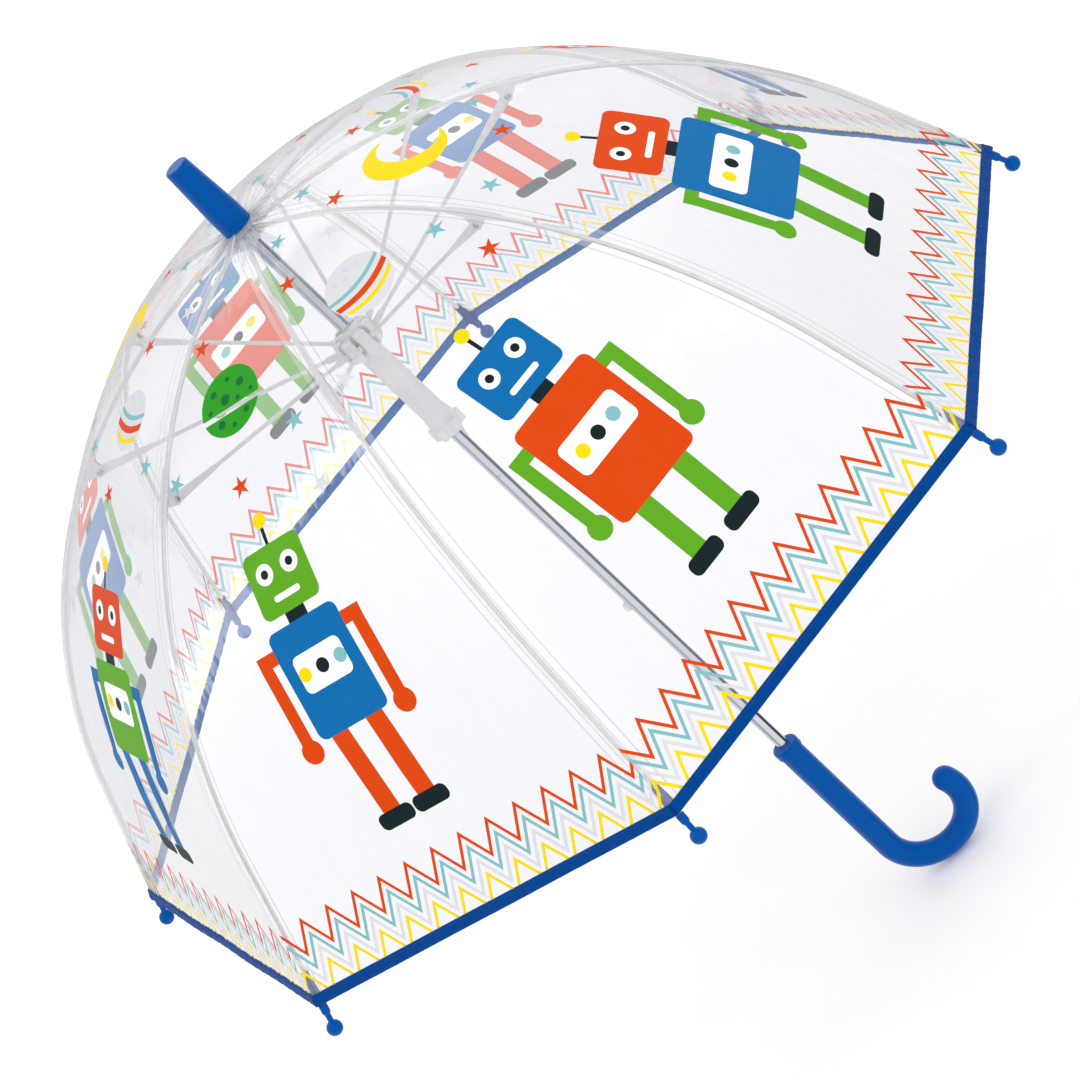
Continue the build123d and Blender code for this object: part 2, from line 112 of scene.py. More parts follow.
# How deep the film's bulge, gathers, seam ripples and slack are, and how far the middle two reach from
# the crown and from the seam. The film keeps to the hem's line below HEM_HOLDS and is free above
# HEM_LETS_GO, both measured up from the rim.
BULGE, GATHERS, PUCKERS, SLACK = 4.0 * MM, 0.9 * MM, 0.3 * MM, 0.5 * MM
GATHERS_REACH, PUCKERS_REACH = 30 * MM, 13 * MM
HEM_WANDER = 0.30 * MM
HEM_HOLDS, HEM_LETS_GO = 6 * MM, 20 * MM

# Camera: degrees, metres, and the lens in millimetres
CAMERA_TURN, CAMERA_HEIGHT, CAMERA_ROLL = 10.84, 25.48, -46.47
CAMERA_DISTANCE, CAMERA_TARGET = 2.312, (0, 0, -0.2842)
CAMERA_LENS, CAMERA_SHIFT = 127.2, (-0.0200, -0.0061)

# Lights: name, place, width, height, watts. All face the umbrella's middle.
LIGHTS_AIM = (0, 0, -0.25)
LIGHTS = (
    ("key", (-0.9, -2.3, 1.9), 1.8, 1.8, 14),
    ("fill", (2.4, -1.2, 0.7), 1.6, 2.4, 5),
    ("back", (0.2, 2.6, 1.6), 2.4, 1.6, 6),
    ("strip", (-1.6, -0.4, 1.9), 0.25, 2.2, 7),
)

# What gloss mirrors, round the horizon from -X by way of -Y and +X: share of the turn, brightness
STUDIO_CARDS = (
    (0.0, 0.95), (0.09, 0.35), (0.17, 1.0), (0.30, 1.05), (0.40, 1.0), (0.45, 0.06), (0.575, 0.08),
    (0.62, 0.95), (0.72, 1.0), (0.78, 0.8), (0.85, 1.0), (0.90, 0.72), (0.95, 1.0),
)
# How bright the world's left and right ends are as a light, and its colour seen by the camera
STUDIO_LEFT, STUDIO_RIGHT = 0.58, 1.18
WHITE_LIGHT = (1.0, 1.0, 1.0, 1.0)
FLOOR_SIZE = 14.0


# ---------------------------------------------------------------- the dome's shape
def dome_line(radius, length):
    """Distance from the shaft and height, at a length from the crown along the line in a rib's plane."""
    turn = np.minimum(np.asarray(length) / FILM_RADIUS, SWEEP)
    past = np.maximum(np.asarray(length) - FILM_RADIUS * SWEEP, 0)
    r = CENTRE_R + radius * np.sin(turn) + past * math.cos(SWEEP)
    z = CENTRE_Z + radius * np.cos(turn) - past * math.sin(SWEEP)
    return r, z


STATIONS = np.linspace(0, LINE_LENGTH, 900)
LINE_R, LINE_Z = dome_line(FILM_RADIUS, STATIONS)
LINE_R = LINE_R * ACROSS
RUN = np.concatenate([[0], np.cumsum(np.hypot(np.diff(LINE_R), np.diff(LINE_Z)))])
GORE_HEIGHT = float(RUN[-1])
TURNS = np.minimum(STATIONS / FILM_RADIUS, SWEEP)


def height_up(r_or_z, line):
    """Distance up the gore's middle line from the rim, where the line has that value."""
    order = 1 if line[-1] > line[0] else -1
    return GORE_HEIGHT - float(np.interp(r_or_z, line[::order], RUN[::order]))


TOP = height_up(CROWN_R * ACROSS, LINE_R)
FLEX_UP = height_up(FILM_FLEX.z, LINE_Z)


def half_width(up):
    """Half of the gore's width, up metres from the rim along its middle line."""
    return np.interp(GORE_HEIGHT - up, RUN, LINE_R) * math.tan(HALF_STEP)


def gore_frame(number):
    """Level directions of a gore: outwards through its middle, and across it."""
    middle = (number - 0.5) * STEP
    out = np.array([math.cos(middle), math.sin(middle), 0])
    side = np.array([-math.sin(middle), math.cos(middle), 0])
    return out, side


def on_gore(number, across, up, lift):
    """Points of a gore: across and up in metres on the flat sheet, lift off it outwards."""
    out, side = gore_frame(number)
    along = GORE_HEIGHT - up
    r = np.interp(along, RUN, LINE_R)
    z = np.interp(along, RUN, LINE_Z)
    turn = np.interp(along, RUN, TURNS)
    normal_r = np.sin(turn)
    normal_z = np.cos(turn) * ACROSS
    size = np.hypot(normal_r, normal_z)
    r = r + lift * normal_r / size
    z = z + lift * normal_z / size
    return r[:, None] * out + across[:, None] * side + z[:, None] * np.array([0, 0, 1])


def point_on_gore(number, across, up, lift):
    """The same for a single point."""
    return on_gore(number, np.array([across]), np.array([up]), np.array([lift]))[0]


def hem_wander(number, share):
    """The hem is not quite straight between two ribs."""
    return HEM_WANDER * np.sin(9 * share + 1.1 * number) * (1 - share**2)


def film_lift(number, across, up):
    """How far the film stands off the straight line between two ribs: a soft bulge, ripples along the
    seams and gathers near the crown. Nothing at the ribs, and the hem's own line inside the hem."""
    share = np.clip(across / half_width(up), -1, 1)
    free = 1 - share**2
    bulge = BULGE * np.sin(math.pi * np.clip(up / TOP, 0, 1)) ** 0.8
    near_crown = np.exp(-(TOP - up) / GATHERS_REACH)
    gathers = GATHERS * near_crown * np.cos(share * 15 + 1.7 * number)
    near_seam = np.exp(-(1 - np.abs(share)) * half_width(up) / PUCKERS_REACH)
    puckers = PUCKERS * near_seam * np.sin(up * 175 + 2.1 * number) * np.sin(up * 61 + number)
    slack = SLACK * np.sin(up * 27 + 1.3 * number) * np.cos(across * 38 + 0.9 * number)
    loose = free * (bulge + gathers + slack) + (free + 0.15 * (free > 0.01)) * puckers
    above_hem = np.clip((up - HEM_HOLDS) / (HEM_LETS_GO - HEM_HOLDS), 0, 1)
    eased = above_hem**2 * (3 - 2 * above_hem)
    return loose * eased + hem_wander(number, share) * (1 - eased)


def film_points(number, across, up):
    """Points of the loose film itself."""
    return on_gore(number, across, up, film_lift(number, across, up))


def film_normals(number, across, up):
    """The smooth sheet's own normals, from points a short step away."""
    step = 0.6 * MM
    over = film_points(number, across + step, up) - film_points(number, across - step, up)
    along = film_points(number, across, up + step) - film_points(number, across, up - step)
    normals = np.cross(over, along)
    return normals / np.linalg.norm(normals, axis=1)[:, None]


def rib_direction(number):
    """Level direction from the shaft out to a rib."""
    turn = (number - 1) * STEP
    return Vector((math.cos(turn), math.sin(turn), 0))


def rib_side(number):
    """Level direction square to a rib's plane."""
    turn = (number - 1) * STEP
    return Vector((-math.sin(turn), math.cos(turn), 0))


def in_rib_plane(number, r, z):
    """A point in a rib's plane, at a distance from the shaft and a height."""
    return rib_direction(number) * float(r) + Vector((0, 0, float(z)))


def about(point, number):
    """The frame gives rib 1's joints; this turns such a point to another rib."""
    return in_rib_plane(number, point.x, point.z)


# ---------------------------------------------------------------- materials
def linear(hex_colour):
    """Shader colour from a usual web colour."""
    parts = [int(hex_colour[i:i + 2], 16) / 255 for i in (0, 2, 4)]
    return [p / 12.92 if p <= 0.04045 else ((p + 0.055) / 1.055) ** 2.4 for p in parts] + [1.0]


class Tree:
    """The node tree of a new material, or of another owner, with short calls for nodes and maths."""

    def __init__(self, name, owner=None):
        self.material = owner or bpy.data.materials.new(name)
        self.material.use_nodes = True
        self.tree = self.material.node_tree
        self.tree.nodes.clear()

    def node(self, kind, inputs=None, **settings):
        """A new node. An input is another node's output, which gets linked, a web colour or a number."""
        made = self.tree.nodes.new(kind)
        for name, value in settings.items():
            setattr(made, name, value)
        for name, value in (inputs or {}).items():
            if isinstance(value, bpy.types.NodeSocket):
                self.tree.links.new(value, made.inputs[name])
            else:
                made.inputs[name].default_value = linear(value) if isinstance(value, str) else value
        return made

    def maths(self, operation, first, second=0.0, clamp=False):
        """A sum, product or other operation on two numbers."""
        made = self.node("ShaderNodeMath", {0: first, 1: second}, operation=operation, use_clamp=clamp)
        return made.outputs[0]

    def ramp(self, factor, low, high, low_at=0.0, high_at=1.0):
        """A number that runs from low to high as the factor runs from low_at to high_at."""
        made = self.node("ShaderNodeMapRange", {
            "Value": factor, "From Min": low_at, "From Max": high_at, "To Min": low, "To Max": high})
        return made.outputs["Result"]

    def place(self, scale=(1, 1, 1), source="Object"):
        """Texture coordinates in metres, stretched by the scale."""
        found = self.node("ShaderNodeTexCoord").outputs[source]
        return self.node("ShaderNodeMapping", {"Vector": found, "Scale": scale}).outputs[0]

    def noise(self, place, scale, detail=3.0, roughness=0.55):
        """Cloudy numbers from 0 to 1."""
        made = self.node("ShaderNodeTexNoise", {
            "Vector": place, "Scale": scale, "Detail": detail, "Roughness": roughness})
        return made.outputs["Fac"]

    def bump(self, height, strength, distance, normal=None):
        """A normal that follows a height, on top of another normal if one is given."""
        inputs = {"Height": height, "Strength": strength, "Distance": distance}
        if normal is not None:
            inputs["Normal"] = normal
        return self.node("ShaderNodeBump", inputs).outputs[0]

    def tint(self, factor, first, second):
        """A colour between two colours."""
        made = self.node("ShaderNodeMix", {0: factor, 6: first, 7: second}, data_type="RGBA")
        return made.outputs[2]

    def mix(self, factor, first, second):
        """A shader between two shaders."""
        made = self.node("ShaderNodeMixShader", {0: factor, 1: first, 2: second})
        return made.outputs[0]

    def principled(self, inputs):
        """Blender's general shader."""
        return self.node("ShaderNodeBsdfPrincipled", inputs).outputs[0]

    def done(self, shader):
        """Connects the shader to the output, and gives the finished material."""
        self.node("ShaderNodeOutputMaterial", {"Surface": shader})
        return self.material


def film_material(name, haze_low, haze_high, lines, milk_colour):
    """Thin clear film: see-through, hazier in streaks, and glossier the flatter it is seen."""
    tree = Tree(name)
    sheet = tree.place((1, 1, 1), "UV")
    streaks = tree.noise(tree.place((26, 5, 1), "UV"), 1.0, 4.0, 0.6)
    haze = tree.ramp(streaks, haze_low, haze_high, 0.3, 0.7)
    if lines:
        fine = tree.noise(tree.place((1500, 9, 1), "UV"), 1.0, 2.0, 0.5)
        haze = tree.maths("ADD", haze, tree.ramp(fine, 0.0, lines, 0.5, 0.68), True)
    waves = tree.noise(sheet, 34.0, 2.0, 0.4)
    long_waves = tree.noise(tree.place((75, 9, 1), "UV"), 1.0, 2.0, 0.5)
    height = tree.maths("ADD", tree.maths("MULTIPLY", waves, 0.6), long_waves)
    normal = tree.bump(height, 0.35, 0.0012)
    milk_front = tree.node("ShaderNodeBsdfDiffuse", {"Color": milk_colour}).outputs[0]
    milk_back = tree.node("ShaderNodeBsdfTranslucent", {"Color": milk_colour}).outputs[0]
    milk = tree.mix(0.5, milk_front, milk_back)
    clear = tree.node("ShaderNodeBsdfTransparent", {"Color": "F8F8FB"}).outputs[0]
    gloss = tree.node("ShaderNodeBsdfGlossy", {"Roughness": 0.07, "Normal": normal}).outputs[0]
    facing = tree.node("ShaderNodeLayerWeight", {"Blend": 0.5}).outputs["Facing"]
    edge = tree.maths("POWER", facing, 4.0)
    shine = tree.ramp(edge, 0.075, 0.95)
    return tree.done(tree.mix(shine, tree.mix(haze, clear, milk), gloss))


def pleat_material():
    """Folded film: white and grey lines that run down from the crown and fade out."""
    tree = Tree("film_pleats")
    lines = tree.noise(tree.place((900, 7, 1), "UV"), 1.0, 3.0, 0.6)
    up = tree.node("ShaderNodeSeparateXYZ", {
        "Vector": tree.node("ShaderNodeTexCoord").outputs["UV"]}).outputs[1]
    fade = tree.ramp(up, 0.0, 1.0, TOP - 39 * MM, TOP - 4 * MM)
    cover = tree.maths("MULTIPLY", tree.ramp(lines, 0.0, 0.8, 0.48, 0.64), fade)
    tone = tree.noise(tree.place((1300, 5, 1), "UV"), 1.0, 2.0)
    colour = tree.tint(tree.ramp(tone, 0.0, 1.0, 0.4, 0.6), "F8F9FA", "AEB1B7")
    skin = tree.principled({"Base Color": colour, "Roughness": 0.2, "Coat Weight": 0.6,
                             "Normal": tree.bump(lines, 0.5, 0.0006)})
    clear = tree.node("ShaderNodeBsdfTransparent").outputs[0]
    return tree.done(tree.mix(cover, clear, skin))


def ink_material(name, colour):
    """Screen-printed ink. From the inside it is painted paler and given a painted glow, standing in for
    the light that comes through it.
    """
    tree = Tree(name)
    place = tree.place((1, 1, 1), "UV")
    blotches = tree.ramp(tree.noise(place, 55.0), 0.0, 0.008)
    grain = tree.ramp(tree.noise(place, 1400.0, 2.0), 0.0, 0.005)
    worn = tree.maths("ADD", blotches, grain)
    front = tree.tint(worn, colour, "FFFFFF")
    behind = tree.node("ShaderNodeNewGeometry").outputs["Backfacing"]
    # Painted light: back faces are tinted towards white here and glow through the emission below, for
    # the light through the ink.
    colour_with_painted_backlight = tree.tint(tree.maths("MULTIPLY", behind, 0.14), front, "FFFFFF")
    waves = tree.noise(place, 34.0, 2.0, 0.4)
    return tree.done(tree.principled({
        "Base Color": colour_with_painted_backlight, "Roughness": 0.5, "Specular IOR Level": 0.08,
        "Specular Tint": colour,
        "Emission Color": colour_with_painted_backlight, "Emission Strength": tree.maths("MULTIPLY", behind, 0.25),
        "Coat Weight": 0.04, "Coat Roughness": 0.08, "Normal": tree.bump(waves, 0.3, 0.001)}))


def blue_plastic():
    """Moulded handle, ferrule and ball tips: fine grain over faint flow lines."""
    tree = Tree("blue_plastic")
    place = tree.place()
    mottle = tree.ramp(tree.noise(place, 60.0), 0.0, 0.25)
    colour = tree.tint(mottle, "0052A4", "00458F")
    grain = tree.noise(place, 2600.0, 2.0)
    flow = tree.noise(tree.place((90, 90, 12)), 1.0, 3.0)
    normal = tree.bump(grain, 0.05, 0.00008, tree.bump(flow, 0.10, 0.0003))
    rough = tree.ramp(tree.noise(place, 25.0), 0.24, 0.36)
    return tree.done(tree.principled({
        "Base Color": colour, "Roughness": rough, "Specular IOR Level": 0.32,
        "Specular Tint": "60A8FF", "Normal": normal}))


def fabric(name, colour, dark, inner):
    """Plain-woven tape, its threads about 0.5 mm apart. The hem's inner face, which lies further up the
    map, is painted paler than the outer one, as painted light on the one tape."""
    tree = Tree(name)
    place = tree.place((1, 1, 1), "UV")
    threads = [tree.node("ShaderNodeTexWave", {
        "Vector": place, "Scale": 320.0, "Distortion": 0.6, "Detail": 1.0, "Detail Scale": 2.0},
        bands_direction=direction).outputs["Fac"] for direction in ("X", "Y")]
    weave = tree.maths("MULTIPLY", threads[0], threads[1])
    wear = tree.noise(place, 70.0, 4.0)
    shade = tree.maths("MULTIPLY", tree.ramp(weave, 1.0, 0.25), tree.ramp(wear, 0.5, 1.0))
    up = tree.node("ShaderNodeSeparateXYZ", {"Vector": place}).outputs[1]
    # Painted light: the inner face gets the paler inner colour.
    inside = tree.ramp(up, 0.0, 1.0, INNER_FACE - 1 * MM, INNER_FACE)
    face = tree.tint(inside, colour, inner)
    base = tree.tint(shade, face, dark)
    creases = tree.noise(tree.place((60, 260, 1), "UV"), 1.0, 3.0)
    normal = tree.bump(weave, 0.5, 0.00018, tree.bump(creases, 0.45, 0.0009))
    return tree.done(tree.principled({
        "Base Color": base, "Roughness": 0.6, "Specular IOR Level": 0.25,
        "Specular Tint": "60A8FF", "Sheen Weight": 0.02, "Sheen Roughness": 0.4,
        "Normal": normal}))


def chrome():
    """Plated tube, drawn along its length."""
    tree = Tree("chrome")
    drawn = tree.noise(tree.place((1400, 1400, 5)), 1.0, 3.0)
    cloud = tree.noise(tree.place(), 40.0)
    rough = tree.ramp(drawn, 0.06, 0.16, 0.3, 0.7)
    colour = tree.tint(tree.ramp(cloud, 0.0, 0.3), "D6DAE0", "B2B8C2")
    return tree.done(tree.principled({
        "Base Color": colour, "Metallic": 1.0, "Roughness": rough,
        "Normal": tree.bump(drawn, 0.04, 0.0001)}))


def white_plastic():
    """Milky translucent moulding."""
    tree = Tree("white_plastic")
    place = tree.place()
    cloud = tree.ramp(tree.noise(place, 90.0), 0.0, 1.0, 0.3, 0.7)
    colour = tree.tint(cloud, "FAFAFA", "EAEBEC")
    grain = tree.noise(place, 1900.0, 2.0)
    body = tree.principled({
        "Base Color": colour, "Roughness": 0.34, "Subsurface Weight": 0.35,
        "Subsurface Scale": 0.003, "Coat Weight": 0.2, "Normal": tree.bump(grain, 0.06, 0.0001)})
    glow = tree.node("ShaderNodeBsdfTranslucent", {"Color": colour}).outputs[0]
    return tree.done(tree.mix(0.18, body, glow))


def coated_rod():
    """The ribs' pale coating, with a little dirt."""
    tree = Tree("coated_rod")
    long_grain = tree.noise(tree.place((500, 500, 60)), 1.0, 3.0)
    dirt = tree.ramp(tree.noise(tree.place(), 120.0, 4.0), 0.0, 0.5, 0.45, 0.8)
    colour = tree.tint(dirt, "DEDEDB", "C2C2BE")
    return tree.done(tree.principled({
        "Base Color": colour, "Roughness": tree.ramp(long_grain, 0.28, 0.45),
        "Coat Weight": 0.3, "Normal": tree.bump(long_grain, 0.12, 0.00012)}))


def grey_fitting():
    """Smoky moulded sleeves and stretcher ends."""
    tree = Tree("grey_fitting")
    place = tree.place()
    colour = tree.tint(tree.noise(place, 75.0), "E6E6E7", "CCCDCF")
    return tree.done(tree.principled({
        "Base Color": colour, "Roughness": tree.ramp(tree.noise(place, 300.0), 0.3, 0.45),
        "Coat Weight": 0.2, "Normal": tree.bump(tree.noise(place, 1500.0, 2.0), 0.08, 0.0001)}))


def steel():
    """Bare wire and rivets with fine scratches."""
    tree = Tree("steel")
    scratches = tree.noise(tree.place((900, 900, 900)), 1.0, 3.0)
    return tree.done(tree.principled({
        "Base Color": "B4B6BA", "Metallic": 1.0, "Roughness": tree.ramp(scratches, 0.2, 0.38),
        "Normal": tree.bump(scratches, 0.08, 0.00006)}))


def floor_material():
    """Pale floor that glows more the farther off it is, so that it runs into the white behind it."""
    tree = Tree("floor")
    dust = tree.ramp(tree.noise(tree.place(), 3.0, 5.0), 0.0, 0.35)
    colour = tree.tint(dust, "FFFFFF", "FAFAFA")
    far = tree.node("ShaderNodeVectorMath", {0: tree.place()}, operation="LENGTH").outputs["Value"]
    glow = tree.ramp(far, 0.05, 0.17, 0.9, 3.0)
    return tree.done(tree.principled({
        "Base Color": colour, "Roughness": 0.85, "Emission Color": colour, "Emission Strength": glow}))


FILM = film_material("clear_film", 0.05, 0.13, 0.0, "EEF0F4")
SEAM = film_material("seam_film", 0.22, 0.36, 0.0, "FFFFFF")
WELD = film_material("weld_film", 0.35, 0.60, 0.0, "A9ACB2")
GATHER = film_material("gathered_film", 0.35, 0.60, 0.35, "D5D8DD")
PLEATS = pleat_material()
BLUE = blue_plastic()
# The binding's last colour is its inner face, painted paler as painted light.
BINDING = fabric("blue_binding", "004C9E", "003678", "0A84D8")
THREAD = fabric("blue_thread", "2C6CC0", "0A3F8C", "2C6CC0")
CHROME = chrome()
WHITE = white_plastic()
COATED = coated_rod()
FITTING = grey_fitting()
STEEL = steel()

INKS = {
    "orange": "DA4500", "blue": "006AAB", "green": "5DA61C", "deep_green": "2B9B1E",
    "dark_green": "0A6B35", "navy": "0C1F24", "light_blue": "82BAC1", "pale_blue": "BEDBE3",
    "yellow": "F4D800", "grey": "D9D9DE", "white": "FFFFFF",
}
INK_MATERIALS = {name: ink_material("print_" + name, colour) for name, colour in INKS.items()}
SHEET_MATERIALS = {"clear": FILM, "seam": SEAM, "weld": WELD, **INK_MATERIALS}


# ---------------------------------------------------------------- drawing the prints
# Millimetres. In the robot's functions d is its Drawing, and side is -1 on the left and 1 on the right.
def arc(x, y, radius, start, end):
    """Points round a circle between two angles in degrees."""
    steps = max(6, round(abs(end - start) / 360 * (14 + 2.2 * radius)))
    turns = [math.radians(start + (end - start) * i / steps) for i in range(steps + 1)]
    return [(x + radius * math.cos(t), y + radius * math.sin(t)) for t in turns]


class Drawing:
    """Flat shapes in millimetres, each laid over the ones before. x0 shifts the whole drawing."""

    def __init__(self, x0=0.0):
        self.x0 = x0
        self.shapes = []

    def shape(self, ink, points):
        self.shapes.append((ink, [(self.x0 + x, y) for x, y in points]))

    def disc(self, ink, x, y, radius):
        self.shape(ink, arc(x, y, radius, 0, 360)[:-1])

    def rings(self, x, y, *pairs):
        """Discs of ink and radius, the widest first."""
        for ink, radius in pairs:
            self.disc(ink, x, y, radius)

    def box(self, ink, x, y, width, height, corner=0.0):
        """A box about its centre, its corners rounded by corner."""
        right, top = width / 2 - corner, height / 2 - corner
        points = []
        for quarter, (sx, sy) in enumerate(((1, 1), (-1, 1), (-1, -1), (1, -1))):
            if corner:
                points += arc(x + sx * right, y + sy * top, corner, 90 * quarter, 90 * quarter + 90)
            else:
                points.append((x + sx * right, y + sy * top))
        self.shape(ink, points)

    def star(self, ink, x, y, radius, turn, points=5, inner=0.37):
        """A star whose first point is at turn degrees; inner is its notches' share of the radius."""
        corners = []
        for i in range(2 * points):
            reach = radius * (inner if i % 2 else 1)
            angle = math.radians(turn + 180 * i / points)
            corners.append((x + reach * math.cos(angle), y + reach * math.sin(angle)))
        self.shape(ink, corners)


def zigzags():
    """Four rows of teeth along the rim."""
    drawing = Drawing()
    teeth, pitch, rise, stroke, spacing = 8, 20.0, 18.5, 4.0, 9.0
    first_row = 29.5
    for row, ink in enumerate(("orange", "light_blue", "grey", "yellow")):
        base = first_row - row * spacing
        knots = []
        for i in range(-2 * teeth, 2 * teeth + 1):
            knots.append((i * pitch / 2 - 7, base + (rise if i % 2 == 0 else 0)))
        upper = [(x, y + stroke / 2) for x, y in knots]
        lower = [(x, y - stroke / 2) for x, y in reversed(knots)]
        drawing.shape(ink, upper + lower)
    return drawing.shapes


def stars(places):
    """Small five-pointed stars, each turned a little further than the last."""
    drawing = Drawing()
    for index, (ink, x, y) in enumerate(places):
        drawing.star(ink, x, y, 7.0, 75 + 23 * index)
    return drawing.shapes


def striped_planet(x, y, radius=21.0):
    """A pale ball with three sagging stripes and a few dots."""
    drawing = Drawing(x)
    drawing.disc("grey", 0, y, radius)
    sag = 0.22 * radius
    for ink, middle, thick in (("light_blue", 5.5, 2.8), ("orange", -1.5, 4.2), ("yellow", -8.5, 3.0)):
        reach = math.sqrt(radius**2 - (middle - thick / 2) ** 2) - 0.4
        across = [reach * (i / 8 - 1) for i in range(17)]
        line = [(at, y + middle - sag * (1 - (at / reach) ** 2)) for at in across]
        upper = [(at, height + thick / 2) for at, height in line]
        lower = [(at, height - thick / 2) for at, height in reversed(line)]
        drawing.shape(ink, upper + lower)
    for dot_x, dot_y in ((-8, 13), (3, 15), (9, 11), (-2, 10)):
        drawing.disc("pale_blue", dot_x, y + dot_y, 1.6)
    return drawing.shapes


def spotted_planet(x, y, radius=21.5):
    """A green ball with dark spots and one clear band across it."""
    drawing = Drawing(x)
    drawing.disc("deep_green", 0, y, radius)
    spots = ((-11, 9, 2.4), (0, 14, 1.7), (9, 8, 2.8), (-3, 2, 3.4), (6, -1, 1.6), (-15, -1, 1.6),
             (-8, -12, 2.6), (11, -11, 2.1), (1, -16, 1.6), (16, 0, 1.5))
    for spot_x, spot_y, spot in spots:
        drawing.disc("dark_green", spot_x, y + spot_y, spot)
    drawing.box("clear", 0, y - 5.6, 2 * radius + 4, 3.4)
    return drawing.shapes


def moon(x, y, radius=25.5):
    """A crescent that opens to the right: a disc less a smaller one, ten millimetres to its right."""
    drawing = Drawing(x)
    outer = arc(0, y, radius, 40, 320)
    inner = arc(10, y, 0.745 * radius, 296, 64)
    drawing.shape("yellow", outer + inner)
    return drawing.shapes


# The printed figure's levels in millimetres above the rim.
FOOT_LOW, FOOT_TOP, SHOULDER, CHIN, CROWN, BALL = 68.0, 78.0, 192.0, 198.0, 236.0, 250.0


def block_head(d, ink, width):
    """Square head with two round eyes, a straight mouth and a ball on an aerial."""
    middle = (CHIN + CROWN) / 2
    d.box("navy", 0, (SHOULDER + CHIN) / 2, 14, CHIN - SHOULDER)
    d.box("navy", 0, (CROWN + BALL) / 2, 2.4, BALL - CROWN)
    d.disc("yellow", 0, BALL, 4.5)
    d.box(ink, 0, middle, width, CROWN - CHIN, 5)
    for side in (-1, 1):
        d.rings(side * 0.22 * width, middle + 5, ("white", 6.0), ("navy", 2.6))
    d.box("white", 0, middle - 10, 0.45 * width, 3.6, 1.7)


def block_body(d, ink, width, hip):
    """Box body with a pale plate that carries three buttons."""
    middle = (hip + SHOULDER) / 2
    d.box(ink, 0, middle, width, SHOULDER - hip, 5)
    d.box("white", 0, middle + 4, width - 16, 22, 4)
    for x, button in ((-13, "yellow"), (0, "navy"), (13, "light_blue")):
        d.disc(button, x, middle + 4, 4.2)


def block_limbs(d, ink, width, hip):
    """Straight arms with round hands, straight legs and flat feet."""
    reach, drop = width / 2 + 9, 58
    for side in (-1, 1):
        d.box(ink, side * (width / 2 + 5), SHOULDER - 12, 16, 8)
        d.box(ink, side * reach, SHOULDER - 8 - drop / 2, 8, drop)
        d.disc(ink, side * reach, SHOULDER - 8 - drop, 7)
        leg = side * width / 4
        d.box(ink, leg, (FOOT_TOP + hip) / 2, 12, hip - FOOT_TOP)
        d.box("navy", leg, (FOOT_LOW + FOOT_TOP) / 2, 24, FOOT_TOP - FOOT_LOW, 4)


def block_robot(head_ink, body_ink, limb_ink, head_width, body_width, leg):
    """A toy robot of plain blocks, its legs that long."""
    d = Drawing()
    hip = FOOT_TOP + leg
    block_limbs(d, limb_ink, body_width, hip)
    block_body(d, body_ink, body_width, hip)
    block_head(d, head_ink, head_width)
    return d.shapes


PANELS = {
    "short": block_robot("blue", "orange", "green", 50, 62, 38) + striped_planet(-4, 325) + stars([
        ("light_blue", 44, 308), ("light_blue", -3, 405), ("orange", -23, 371), ("grey", 16, 371),
        ("grey", -54, 292), ("orange", 50, 272)]),
    "slim": block_robot("green", "blue", "orange", 42, 50, 50) + spotted_planet(0, 325) + stars([
        ("orange", -18, 371), ("light_blue", 41, 291), ("light_blue", -50, 297), ("light_blue", 3, 406),
        ("orange", -5, 273), ("grey", 46, 250)]),
    "tall": block_robot("orange", "green", "blue", 46, 54, 58) + striped_planet(0, 333, 18.0) + stars([
        ("orange", -15, 376), ("light_blue", 39, 311), ("orange", -6, 289), ("light_blue", -50, 312),
        ("grey", 12, 402), ("grey", 52, 250)]),
    "wide": block_robot("orange", "blue", "green", 56, 68, 44) + moon(0, 346) + stars([
        ("orange", 7, 290), ("light_blue", -4, 412), ("orange", -24, 386), ("light_blue", 40, 312),
        ("grey", 22, 384), ("light_blue", -44, 290)]),
}
PANEL_OF_GORE = {
    8: "wide", 7: "short", 6: "slim", 5: "tall", 4: "wide", 3: "short", 2: "slim", 1: "tall"}

# Flat gore, in millimetres. FILM_LOW: the film's lower edge, inside the hem. SEAM_STRIPS: ink, near side
# and far side of each band along a seam; they narrow with the gore where half its width is less than
# NARROWED_BELOW. GRID: the mesh's cells, and CROWN_GRID up and across in the top CROWN_PART of the gore.
FILM_LOW = 3.0
SEAM_STRIPS = (("seam", 0.0, 7.5), ("weld", 2.6, 3.2), ("weld", 6.9, 7.6))
NARROWED_BELOW = 11
GRID, CROWN_GRID, CROWN_PART = 6.5, (3.2, 2.6), 80


# ---------------------------------------------------------------- meshes
def new_object(name, vertices, faces, materials, smooth=True):
    """A mesh object in the scene's own collection."""
    mesh = bpy.data.meshes.new(name)
    mesh.from_pydata([tuple(v) for v in vertices], [], faces)
    mesh.update()
    made = bpy.data.objects.new(name, mesh)
    bpy.context.scene.collection.objects.link(made)
    for material in materials:
        mesh.materials.append(material)
    if smooth:
        mesh.polygons.foreach_set("use_smooth", [True] * len(mesh.polygons))
    return made


def set_uv(made, places):
    """One map coordinate per vertex, in metres."""
    layer = made.data.uv_layers.new(name="sheet")
    for loop in made.data.loops:
        layer.data[loop.index].uv = places[loop.vertex_index]


def grid_faces(rows, columns, loop_columns=False):
    """Quads over a grid of rows x columns vertices. Its last column may join its first."""
    faces = []
    last = columns if loop_columns else columns - 1
    for i in range(rows - 1):
        for j in range(last):
            k = (j + 1) % columns
            above = (i + 1) * columns
            faces.append((i * columns + j, i * columns + k, above + k, above + j))
    return faces


def tube_faces(rows, columns):
    """The faces of a closed tube: rows of rings, with a flat face at each end."""
    count = rows * columns
    ends = [tuple(range(columns))[::-1], tuple(range(count - columns, count))]
    return grid_faces(rows, columns, True) + ends


